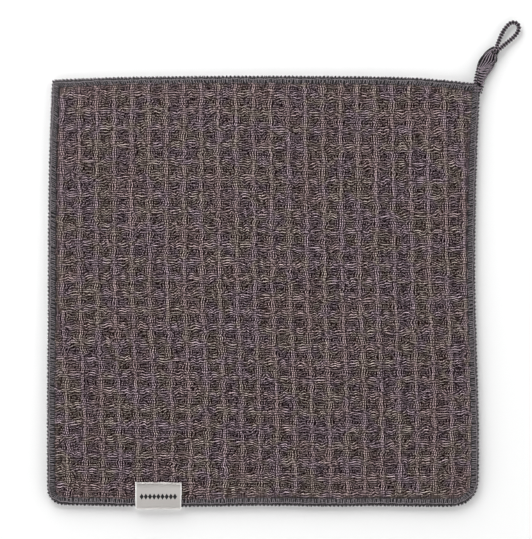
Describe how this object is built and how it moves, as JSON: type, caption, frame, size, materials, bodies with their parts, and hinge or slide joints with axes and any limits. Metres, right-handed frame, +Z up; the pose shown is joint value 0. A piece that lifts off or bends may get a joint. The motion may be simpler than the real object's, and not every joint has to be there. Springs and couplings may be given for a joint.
{
  "type": "hanging loop towel",
  "caption": "Square waffle-weave cleaning cloth lying flat, with an overlocked edge, a chain-stitched hanging loop at a corner and a woven label folded over the lower edge.",
  "frame": {"origin": "middle of the cloth's flat underside, which rests on the surface", "axes": "+Z up out of the cloth's face, +Y along the cloth towards the edge with the loop, +X across it towards the corner with the loop"},
  "size_m": [0.3309, 0.3408, 0.0039],
  "materials": {
    "waffle_microfibre": "matte, fuzzy microfibre in a deep waffle weave",
    "overlock_thread": "matte, textured overlock thread",
    "loop_thread": "matte, textured thread in a chain",
    "woven_label": "satin-woven polyester tape"
  },
  "bodies": {
    "root": {"cloth": "waffle_microfibre", "edge_overlock": "overlock_thread", "hanging_loop": "loop_thread", "label": "woven_label"}
  },
  "joints": []
}
